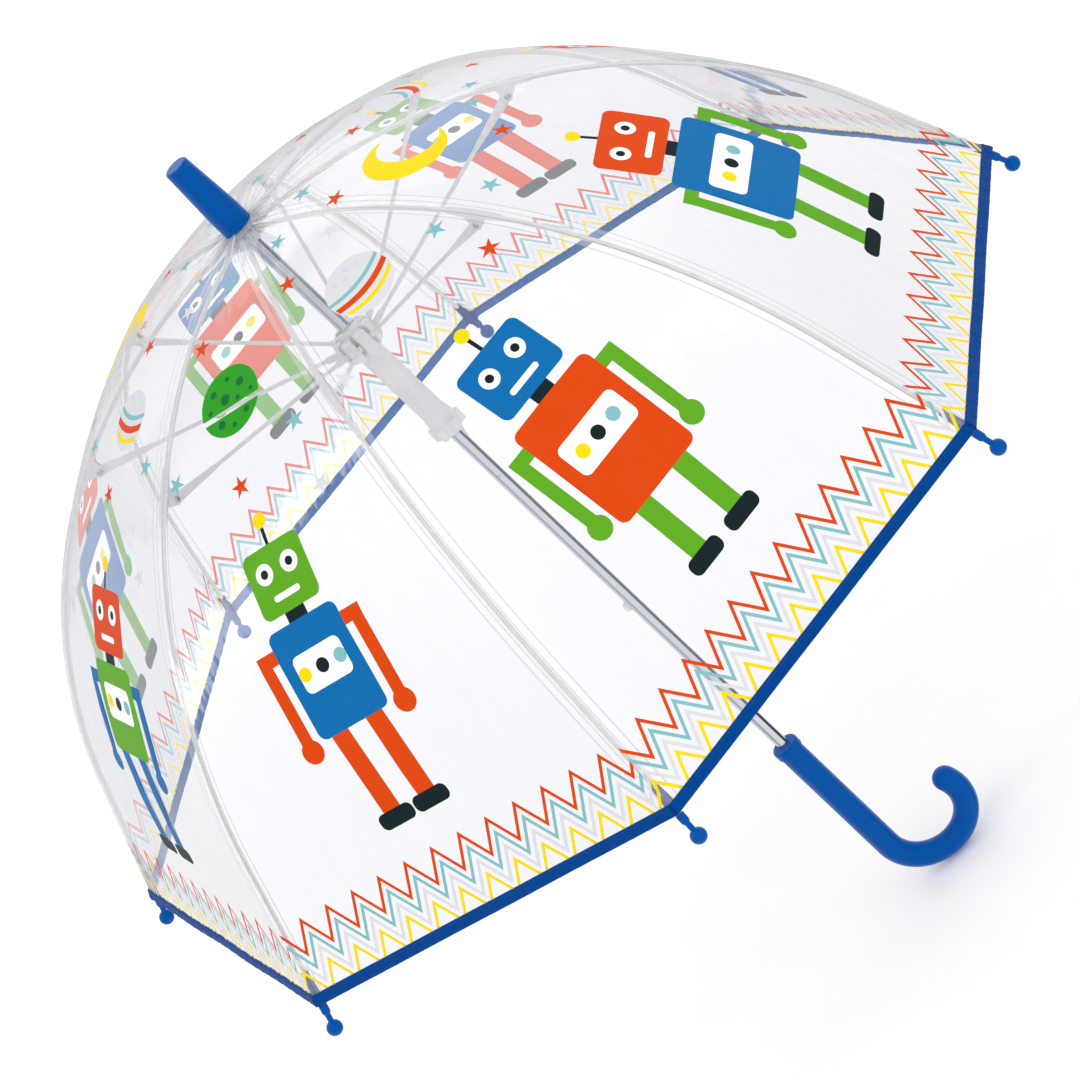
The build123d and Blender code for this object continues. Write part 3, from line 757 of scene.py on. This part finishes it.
def ring(centre, first, second, radius, sides):
    """Points of a circle in the plane of two directions that are square to each other."""
    turns = [math.tau * i / sides for i in range(sides)]
    return [centre + (first * math.cos(turn) + second * math.sin(turn)) * radius for turn in turns]


def flat_sheet():
    """The gore's outline in millimetres, and loose points that make its mesh fine enough to curve."""
    top = TOP / MM
    crown_from = top - CROWN_PART
    rows = list(np.arange(FILM_LOW, crown_from, GRID))
    rows += list(np.arange(crown_from, top, CROWN_GRID[0])) + [top]
    halves = [float(half_width(row * MM)) / MM for row in rows]
    right = list(zip(halves, rows))
    outline = right + [(-x, y) for x, y in reversed(right)]
    loose = []
    for row, half in list(zip(rows, halves))[1:-1]:
        gap = GRID if row < crown_from else CROWN_GRID[1]
        count = max(4, round(2 * half / gap))
        for i in range(1, count):
            loose.append((-half + 2 * half * i / count, row))
    return outline, right, loose


def seam_strips(right):
    """Bands along both welded edges, and the fine weld lines in them."""
    def parallel(side, gap):
        return [(side * max(x - gap, (1 - gap / NARROWED_BELOW) * x), y) for x, y in right]

    return [(ink, parallel(side, far) + parallel(side, near)[::-1])
            for side in (-1, 1) for ink, near, far in SEAM_STRIPS]


def anticlockwise(polygon):
    """The triangulation needs each outline to run that way round."""
    area = sum(a[0] * b[1] - b[0] * a[1] for a, b in zip(polygon, polygon[1:] + polygon[:1]))
    return polygon if area > 0 else polygon[::-1]


def ink_on_top(source, layers):
    """The ink of a triangle, given the layers it lies in. A seam shows only where nothing is printed."""
    welds = [s for s in source if layers[s][0] in ("seam", "weld")]
    prints = [s for s in source if s not in welds]
    ink = layers[max(prints)][0]
    if welds and ink == "clear":
        ink = layers[max(welds)][0]
    return ink


def cut_sheet(panel):
    """Cuts the prints and seams into the flat gore. Returns its points, triangles and their inks."""
    outline, right, loose = flat_sheet()
    layers = [("clear", outline)] + zigzags() + PANELS[panel] + seam_strips(right)
    points, faces = [], []
    for _, polygon in layers:
        faces.append(list(range(len(points), len(points) + len(polygon))))
        points += [Vector(p) for p in anticlockwise(polygon)]
    start = len(points)
    flex = FLEX_UP / MM
    reach = float(half_width(FLEX_UP)) / MM
    points += [Vector((-reach, flex)), Vector((reach, flex))]
    points += [Vector(p) for p in loose]
    found = delaunay_2d_cdt(points, [(start, start + 1)], faces, 1, 1e-4)
    corners, triangles, sources = found[0], found[2], found[5]
    kept, inks = [], []
    for triangle, source in zip(triangles, sources):
        if 0 in source:
            kept.append(tuple(triangle))
            inks.append(ink_on_top(source, layers))
    return np.array([tuple(c) for c in corners]), kept, inks


def film_piece(name, number, corners, triangles, inks):
    """One half of a gore, its normals taken from the smooth sheet."""
    used = sorted({i for triangle in triangles for i in triangle})
    order = {old: new for new, old in enumerate(used)}
    across = corners[used, 0] * MM
    up = corners[used, 1] * MM
    names = list(dict.fromkeys(inks))
    faces = [tuple(order[i] for i in triangle) for triangle in triangles]
    points = film_points(number, across, up)
    made = new_object(name, points, faces, [SHEET_MATERIALS[n] for n in names])
    made.data.polygons.foreach_set("material_index", [names.index(ink) for ink in inks])
    set_uv(made, list(zip(across, up)))
    made.data.normals_split_custom_set_from_vertices(
        [tuple(n) for n in film_normals(number, across, up)])
    return made


def attach(made, body, stands_for=None):
    """Gives a piece the body it moves with, and hides the CAD node it stands for."""
    if stands_for:
        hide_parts(stands_for)
    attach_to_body(made, body)


def fold_flat(made):
    """The film closes in pleats between the ribs; here the piece only gets its own copy of its mesh."""
    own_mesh(made)


def make_film():
    """The eight gores, each in two halves that meet at the flex line."""
    sheets = {panel: cut_sheet(panel) for panel in PANELS}
    flex = FLEX_UP / MM
    for number in NUMBERS:
        corners, triangles, inks = sheets[PANEL_OF_GORE[number]]
        middles = corners[np.array(triangles)].mean(axis=1)[:, 1]
        for half, above in (("upper", True), ("lower", False)):
            chosen = [i for i, middle in enumerate(middles) if (middle > flex) == above]
            made = film_piece(f"film_{half}_{number}", number, corners,
                              [triangles[i] for i in chosen], [inks[i] for i in chosen])
            body = f"canopy_{half}_{number}"
            attach(made, body, body)
            fold_flat(made)


def make_pleats(number):
    """Gathered film over the crown: fine folds that die away down the gore."""
    rows, columns = 16, 61
    share = np.linspace(-1, 1, columns)
    points, places = [], []
    for row, up in enumerate(np.linspace(TOP + 1.5 * MM, TOP - 40 * MM, rows)):
        fade = 1 - row / (rows - 1)
        reach = float(half_width(up))
        folds = np.cos(share * math.pi * 7 + 0.8 * number + 0.5 * np.sin(3 * share + number))
        lift = 0.5 * MM + 1.5 * MM * fade**1.5 * (1 + folds) * (1 - 0.5 * share**4)
        across, level = share * reach, np.full(columns, up)
        points.append(on_gore(number, across, level, lift + film_lift(number, across, level)))
        places += [(s * 0.012, up) for s in share]
    made = new_object(f"film_pleats_{number}", np.concatenate(points), grid_faces(rows, columns),
                      [PLEATS])
    set_uv(made, places)
    attach(made, f"canopy_upper_{number}")
    fold_flat(made)


def make_gather():
    """The film's bunched middle, squeezed between the crown and the ferrule's foot."""
    rows, columns = 9, 144
    points, places = [], []
    for row in range(rows):
        along = row / (rows - 1)
        for column in range(columns):
            turn = math.tau * column / columns
            frill = 0.5 * math.cos(24 * turn) + 0.3 * math.cos(11 * turn + 1)
            r = COLLAR_R - 0.6 * MM + (4.6 + 0.6 * frill) * MM * along
            z = -0.3 * MM - 2.2 * MM * along + 0.7 * frill * MM * along
            z += 0.5 * MM * math.sin(math.pi * along)
            points.append((r * math.cos(turn), r * math.sin(turn), z))
            places.append((turn * COLLAR_R, r))
    made = new_object("crown_gather", points, grid_faces(rows, columns, True), [GATHER])
    set_uv(made, places)
    thicken = made.modifiers.new("thickness", "SOLIDIFY")
    thicken.thickness = 0.3 * MM
    attach(made, "shaft", "canopy_collar")


def sweep_tube(name, path, radius, material, sides=14):
    """A round rod through the points of a path that lies in one plane, with domed ends."""
    path = [Vector(p) for p in path]
    flat_normal = (path[-1] - path[0]).cross(path[len(path) // 2] - path[0])
    if flat_normal.length < 1e-9:
        flat_normal = (path[-1] - path[0]).orthogonal()
    flat_normal.normalize()
    rings = []
    for i, point in enumerate(path):
        ahead = path[min(i + 1, len(path) - 1)] - path[max(i - 1, 0)]
        rings.append((point, ahead.normalized(), radius))
    start, first, _ = rings[0]
    end, last, _ = rings[-1]
    for share in (0.5, 0.85):
        shrink = radius * math.sqrt(1 - share**2)
        rings.insert(0, (start - first * radius * share, first, shrink))
        rings.append((end + last * radius * share, last, shrink))
    vertices = []
    for point, direction, size in rings:
        vertices += ring(point, flat_normal, flat_normal.cross(direction), size, sides)
    return new_object(name, vertices, tube_faces(len(rings), sides), [material])


def lathe(name, origin, axis, profile, material, sides=28):
    """Turns a profile of (distance along the axis, radius) about the axis, and closes its ends flat."""
    axis = Vector(axis).normalized()
    side = axis.orthogonal().normalized()
    vertices = []
    for along, radius in profile:
        vertices += ring(origin + axis * along, side, axis.cross(side), radius, sides)
    return new_object(name, vertices, tube_faces(len(profile), sides), [material])


def shade_by_angle(made, degrees=35):
    """Keeps edges sharper than that angle crisp."""
    made.data.set_sharp_from_angle(angle=math.radians(degrees))


def rib_path(number, start, end):
    """Points along the rib's own line, lengths measured on the film line."""
    count = max(2, math.ceil((end - start) / (5 * MM)))
    lengths = np.linspace(start, end, count + 1)
    return [in_rib_plane(number, *dome_line(RIB_RADIUS, length)) for length in lengths]


def make_rib(number):
    """One springy rod from the crown to its tip. The real rib straightens about the flex point as it
    closes; this rod keeps its open curve.
    """
    path = rib_path(number, math.radians(1.6) * FILM_RADIUS, LINE_LENGTH + 3.6 * MM)
    rod = sweep_tube(f"rib_rod_{number}", path, ROD, COATED)
    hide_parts(f"rib_lower_{number}")
    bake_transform(rod)


def make_rib_root(number):
    """Flat eye at the rib's root, which turns on the crown's wire."""
    out = rib_direction(number)
    side = rib_side(number)
    outline = [(2.2 * math.cos(t), 2.2 * math.sin(t))
               for t in np.linspace(math.pi / 2, 1.5 * math.pi, 12)]
    outline += [(4.0, -1.9), (8.0, -1.5), (8.0, 1.5), (4.0, 1.9)]
    origin = about(RIB_PIVOT, number)
    made = plate(f"rib_root_{number}", origin, out, Vector((0, 0, 1)), side, outline, 1.0 * MM, COATED)
    attach(made, f"rib_upper_{number}")


def plate(name, origin, along, up, side, outline, half_thick, material):
    """A flat piece: an outline in millimetres in the plane of along and up, with soft edges."""
    vertices = []
    for face in (-1, 1):
        for x, y in outline:
            vertices.append(origin + along * x * MM + up * y * MM + side * face * half_thick)
    count = len(outline)
    faces = [tuple(range(count))[::-1], tuple(range(count, 2 * count))]
    for i in range(count):
        j = (i + 1) % count
        faces.append((i, j, count + j, count + i))
    made = new_object(name, vertices, faces, [material], smooth=False)
    bevel = made.modifiers.new("bevel", "BEVEL")
    bevel.width = 0.25 * MM
    bevel.segments = 2
    bevel.limit_method = "ANGLE"
    return made


def make_sleeve(number, middle, along):
    """Tapered sleeve round the rib. In the looks it stands for the CAD's upper rib."""
    half = 17 * MM
    far_end = [(half / 4, 2.6 * MM), (half / 2, 2.45 * MM), (half - 0.8 * MM, 2.0 * MM),
               (half, 1.8 * MM), (half, 1.45 * MM)]
    profile = [(-at, radius) for at, radius in far_end[::-1]] + far_end
    sleeve = lathe(f"rib_sleeve_{number}", middle, along, profile, FITTING)
    shade_by_angle(sleeve)
    body = f"rib_upper_{number}"
    attach(sleeve, body, body)


def make_cheeks(number, middle, along, down, drop):
    """Two plates that hang the rivet under the sleeve, drop millimetres below its middle."""
    rounded = [(3.4 * math.cos(t), -3.4 * math.sin(t) - drop) for t in np.linspace(0, math.pi, 13)]
    outline = [(6.5, -1.0)] + rounded + [(-6.5, -1.0)]
    for face in (-1, 1):
        name = f"rib_cheek_{number}_{'a' if face < 0 else 'b'}"
        centre = middle + rib_side(number) * face * 1.8 * MM
        cheek = plate(name, centre, along, -down, rib_side(number), outline, 0.5 * MM, FITTING)
        attach(cheek, f"rib_upper_{number}")


def make_rivet(number, rivet_at):
    """The pin that the stretcher turns on, with a domed head at each end."""
    head = [(2.3, 1.0), (2.4, 1.95), (2.85, 1.6), (3.1, 0.9), (3.1, 0.0)]
    ends = [(-at, radius) for at, radius in head[::-1]] + head
    profile = [(at * MM, radius * MM) for at, radius in ends]
    rivet = lathe(f"rib_rivet_{number}", rivet_at, rib_side(number), profile, STEEL)
    shade_by_angle(rivet, 50)
    attach(rivet, f"rib_upper_{number}")


def make_joint(number):
    """The rib's fitting: sleeve, cheeks and rivet."""
    rivet_at = about(RIB_JOINT, number)
    middle = in_rib_plane(number, *dome_line(RIB_RADIUS, JOINT_TURN * FILM_RADIUS))
    down = (rivet_at - middle).normalized()
    along = rib_side(number).cross(down).normalized()
    make_sleeve(number, middle, along)
    make_cheeks(number, middle, along, down, (rivet_at - middle).length / MM)
    make_rivet(number, rivet_at)


def hem_section():
    """Closed outline of the folded tape round the film's edge: (up, lift) in metres."""
    low, high = -0.4 * MM, HEM_WIDTH
    half = HEM_THICK / 2
    points = [(low + half * (1 + math.sin(t)), half * 1.1 * math.cos(t))
              for t in np.linspace(math.pi, math.tau, 7)]
    points += [(2.2 * MM, half * 1.12), (4.2 * MM, half * 0.95), (5.6 * MM, half * 0.72)]
    points += [(high - 0.2 * MM, half * 0.8), (high, half * 0.6), (high, -half * 0.6)]
    points += [(high - 0.2 * MM, -half * 0.8), (5.6 * MM, -half * 0.72), (4.2 * MM, -half * 0.95),
               (2.2 * MM, -half * 1.12)]
    return points


def make_hem(number):
    """Blue tape folded over the rim between two tips, a little slack and puckered by its stitches."""
    section = hem_section()
    columns = 150
    points, places = [], []
    for share in np.linspace(-1, 1, columns):
        wander = float(hem_wander(number, share))
        pucker = 0.12 * MM * math.sin(150 * share + number) + 0.1 * MM * math.sin(67 * share)
        grow = 1 + 0.35 * math.exp(-(1 - abs(share)) * 22)
        for up, lift in section:
            swell = lift * grow + (pucker * abs(lift) / (HEM_THICK / 2)) * (1 if lift > 0 else -1)
            across = share * (float(half_width(up)) + swell * math.tan(HALF_STEP) * 0.93 - 0.05 * MM)
            points.append(point_on_gore(number, across, up, swell + wander))
            # The inner face's map starts INNER_FACE higher, where the binding paints it paler as painted
            # light.
            places.append((across, up + (INNER_FACE if lift < 0 else 0.0)))
    made = new_object(f"hem_{number}", points, tube_faces(columns, len(section)), [BINDING])
    set_uv(made, places)
    stands_for = "hem_binding" if number == 1 else None
    attach(made, f"canopy_lower_{number}", stands_for)
    fold_flat(made)


def make_stitches(number):
    """A row of lock stitches along the hem, on both faces."""
    pitch, length, thick = 2.9 * MM, 2.2 * MM, 0.22 * MM
    reach = float(half_width(0.0)) - 6 * MM
    count = int(2 * reach / pitch)
    vertices, faces, places = [], [], []
    ring = [(-0.5, 0.0), (-0.32, 0.75), (0.0, 1.0), (0.32, 0.75), (0.5, 0.0)]
    for face in (-1, 1):
        for i in range(count):
            centre = -reach + (i + 0.5) * pitch
            wander = float(hem_wander(number, centre / half_width(0.0)))
            for along, rise in ring:
                for wide in (-1, 1):
                    across = centre + along * length
                    up = 5.5 * MM + wide * thick
                    lift = face * (HEM_THICK / 2 * 0.74 + thick * rise)
                    vertices.append(point_on_gore(number, across, up, lift + wander))
                    places.append((across, wide * thick))
            first = len(vertices) - 2 * len(ring)
            last = len(vertices) - 2
            stitch = [(a, a + 2, a + 3, a + 1) for a in range(first, last, 2)]
            stitch += [(first, first + 1, last + 1, last), tuple(range(first, last + 1, 2))[::-1],
                       tuple(range(first + 1, last + 2, 2))]
            faces += [corners if face > 0 else corners[::-1] for corners in stitch]
    made = new_object(f"hem_stitches_{number}", vertices, faces, [THREAD])
    set_uv(made, places)
    attach(made, f"canopy_lower_{number}")
    fold_flat(made)


def make_corner(number):
    """Loop of tape sewn into the hem's corner, through which the rib's end runs."""
    side = rib_side(number)
    ends = [in_rib_plane(number, *dome_line(RIB_RADIUS, LINE_LENGTH - back * MM))
            for back in (21.0, 0.6)]
    along = (ends[1] - ends[0]).normalized()
    outward = side.cross(along).normalized()
    if outward.z < 0:
        outward = -outward
    rows, columns = 12, 28
    points, places = [], []
    for row in range(rows):
        share = row / (rows - 1)
        centre = ends[0].lerp(ends[1], share)
        for column in range(columns):
            turn = math.tau * column / columns
            wide = (2.1 + 1.7 * share) * MM * (1 + 0.07 * math.sin(5 * share + 3 * turn))
            tall = (2.0 + 0.3 * share) * MM * (1 + 0.04 * math.cos(4 * share * math.pi))
            lift = 0.35 * MM * share
            points.append(centre + side * wide * math.cos(turn)
                          + outward * (tall * math.sin(turn) + lift))
            places.append((turn * 2.4 * MM, -share * 20.4 * MM))
    made = new_object(f"corner_loop_{number}", points, grid_faces(rows, columns, True), [BINDING])
    set_uv(made, places)
    thicken = made.modifiers.new("thickness", "SOLIDIFY")
    thicken.thickness = 0.5 * MM
    thicken.offset = -1
    attach(made, f"rib_lower_{number}")


def paint_cad():
    """Materials for the CAD nodes that are shown as they are."""
    plain = {"shaft": CHROME, "handle": BLUE, "ferrule": BLUE, "crown": WHITE, "crown_wire": STEEL,
             "runner": WHITE, "runner_wire": STEEL, "bottom_catch": WHITE, "top_catch": WHITE,
             "spring_rivet": STEEL}
    for number in NUMBERS:
        plain[f"stretcher_{number}"] = FITTING
        plain[f"tip_{number}"] = BLUE
    for name, material in plain.items():
        materials = frame["nodes"][name].data.materials
        materials.clear()
        materials.append(material)


# ---------------------------------------------------------------- stage
def make_floor():
    """A large square just under the umbrella. Gloss doesn't mirror it."""
    low = cad_box[0].z - 1 * MM
    quarters = ((-1, -1), (1, -1), (1, 1), (-1, 1))
    corners = [(x * FLOOR_SIZE, y * FLOOR_SIZE, low) for x, y in quarters]
    floor = new_object("floor", corners, [(0, 1, 2, 3)], [floor_material()])
    floor.visible_glossy = False


def area_light(name, place, size, size_y, watts):
    """A rectangular light that faces the umbrella's middle."""
    light = bpy.data.lights.new(name, "AREA")
    light.shape = "RECTANGLE"
    light.size = size
    light.size_y = size_y
    light.energy = watts
    made = bpy.data.objects.new(name, light)
    bpy.context.scene.collection.objects.link(made)
    made.location = place
    made.rotation_mode = "QUATERNION"
    made.rotation_quaternion = (Vector(LIGHTS_AIM) - Vector(place)).to_track_quat("-Z", "Y")


def studio_cards(tree, azimuth):
    """What gloss mirrors at the height of the horizon: brightness by azimuth, once around."""
    share = tree.ramp(azimuth, 0.0, 1.0, -math.pi, math.pi)
    cards = tree.node("ShaderNodeValToRGB", {"Fac": share})
    while len(cards.color_ramp.elements) < len(STUDIO_CARDS):
        cards.color_ramp.elements.new(0.5)
    for element, (at, value) in zip(cards.color_ramp.elements, STUDIO_CARDS):
        element.position = at
        element.color = (value, value, value * 1.02, 1)
    return cards.outputs[0]


def make_world():
    """A white studio. Gloss mirrors darker cards in it, so that clear and bright parts show, and its
    light is a little stronger from the right. The camera sees plain white."""
    world = bpy.data.worlds.new("studio")
    bpy.context.scene.world = world
    tree = Tree("studio", world)
    direction = tree.node("ShaderNodeTexCoord").outputs["Generated"]
    parts = tree.node("ShaderNodeSeparateXYZ", {"Vector": direction}).outputs
    cards = studio_cards(tree, tree.maths("ARCTAN2", parts[1], parts[0]))
    upward = tree.ramp(parts[2], 0.0, 1.0, 0.35, 0.75)
    mirrored = tree.tint(upward, cards, WHITE_LIGHT)
    glossy = tree.node("ShaderNodeLightPath").outputs["Is Glossy Ray"]
    seen = tree.node("ShaderNodeLightPath").outputs["Is Camera Ray"]
    from_the_right = tree.ramp(parts[0], STUDIO_LEFT, STUDIO_RIGHT, -1.0, 1.0)
    soft = tree.tint(glossy, from_the_right, mirrored)
    colour = tree.tint(seen, soft, WHITE_LIGHT)
    studio = tree.node("ShaderNodeBackground", {"Color": colour}).outputs[0]
    tree.node("ShaderNodeOutputWorld", {"Surface": studio})


def make_camera():
    """The usual three-quarter view from above, the umbrella leaning over to the left."""
    camera = bpy.data.cameras.new("camera")
    made = bpy.data.objects.new("camera", camera)
    bpy.context.scene.collection.objects.link(made)
    bpy.context.scene.camera = made
    turn, elevation, roll = map(math.radians, (CAMERA_TURN, CAMERA_HEIGHT, CAMERA_ROLL))
    facing = Vector((math.sin(turn), -math.cos(turn), 0))
    back = facing * math.cos(elevation) + Vector((0, 0, math.sin(elevation)))
    right = Vector((0, 0, 1)).cross(back).normalized()
    up = back.cross(right)
    turned_right = right * math.cos(roll) + up * math.sin(roll)
    turned_up = up * math.cos(roll) - right * math.sin(roll)
    axes = Matrix((turned_right, turned_up, back)).transposed()
    place = Vector(CAMERA_TARGET) + back * CAMERA_DISTANCE
    made.matrix_world = Matrix.Translation(place) @ axes.to_4x4()
    camera.sensor_width = 36
    camera.lens = CAMERA_LENS
    camera.shift_x, camera.shift_y = CAMERA_SHIFT
    camera.clip_end = 60


def set_looks():
    """Plain colours, and enough bounces to see through both sides of the film and the prints."""
    scene = bpy.context.scene
    scene.view_settings.view_transform = "Standard"
    scene.cycles.transparent_max_bounces = 32


make_film()
make_gather()
for number in NUMBERS:
    make_pleats(number)
    make_rib(number)
    make_rib_root(number)
    make_joint(number)
    make_hem(number)
    make_stitches(number)
    make_corner(number)
paint_cad()
make_floor()
make_world()
for light in LIGHTS:
    area_light(*light)
make_camera()
set_looks()
